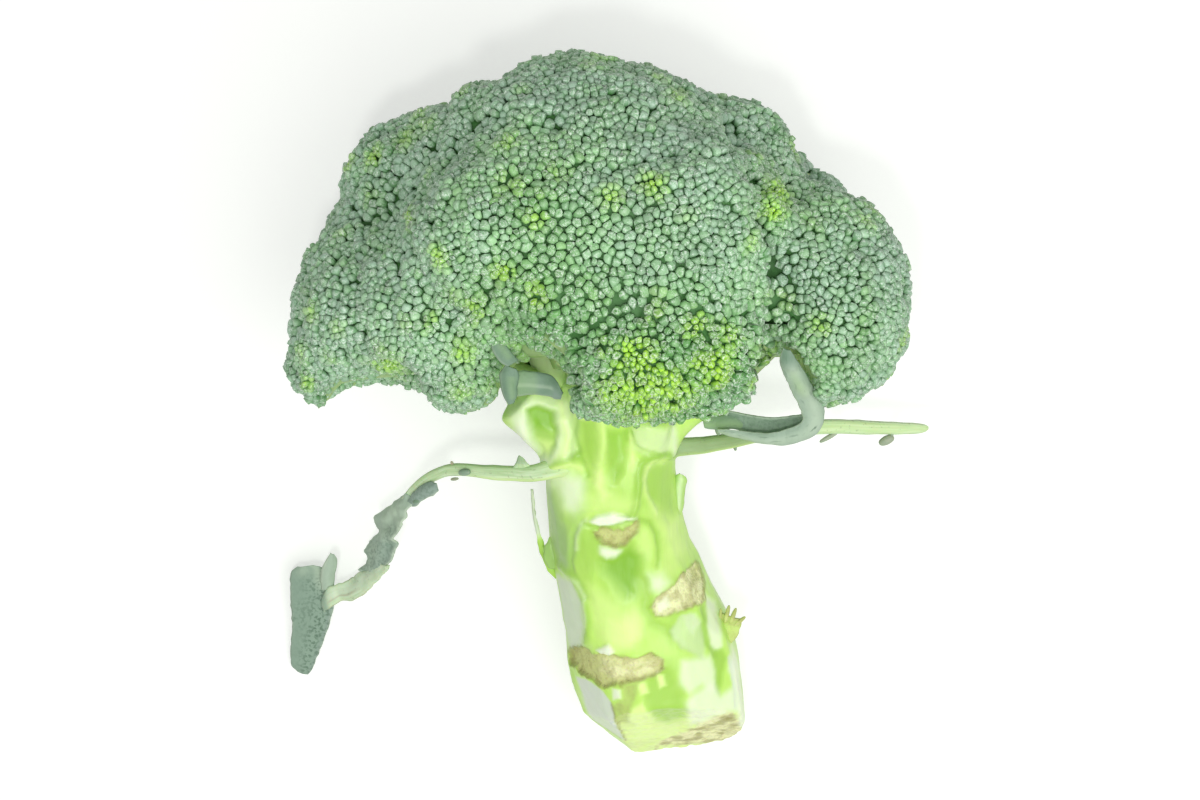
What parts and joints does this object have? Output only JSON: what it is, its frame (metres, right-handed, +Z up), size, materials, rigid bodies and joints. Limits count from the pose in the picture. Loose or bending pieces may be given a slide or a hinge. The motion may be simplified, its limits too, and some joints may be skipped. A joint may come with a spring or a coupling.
{
  "type": "broccoli head",
  "caption": "Fresh broccoli head lying on its side: a thick trimmed stalk branching into domed, bead-textured floret heads, with a few leaves and leaf bases left on.",
  "frame": {"origin": "on the surface that the head lies on, under the middle of its bounding box", "axes": "+Y from the cut end of the stalk toward the crown, +Z up from the surface, +X to the right when the head is seen from above with its crown away from the viewer"},
  "size_m": [0.1753, 0.1866, 0.1296],
  "materials": {
    "stalk": "smooth moist yellow-green skin",
    "branch": "smooth pale green skin",
    "buds": "closely packed matt grey-green buds",
    "leaf": "thin waxy grey-green leaf",
    "petiole": "smooth pale green leaf stalk"
  },
  "bodies": {
    "root": {"main_stalk": "stalk", "branch_front": "branch", "branch_front_low": "branch", "branch_left": "branch", "branch_right": "branch", "branch_top": "branch", "branch_upper_left": "branch", "branch_upper_right": "branch", "branch_back_left": "branch", "branch_back_right": "branch", "branch_back_centre": "branch", "branch_back_top": "branch", "head_front": "buds", "head_front_low": "buds", "head_left": "buds", "head_right": "buds", "head_top": "buds", "head_upper_left": "buds", "head_upper_right": "buds", "head_back_left": "buds", "head_back_right": "buds", "head_back_centre": "buds", "head_back_top": "buds", "leaf_left": "leaf", "leaf_right": "petiole", "leaf_curled": "leaf", "leaf_small": "leaf", "torn_strip": "petiole", "leaf_stub": "petiole", "torn_leaf_base": "petiole"}
  },
  "joints": []
}
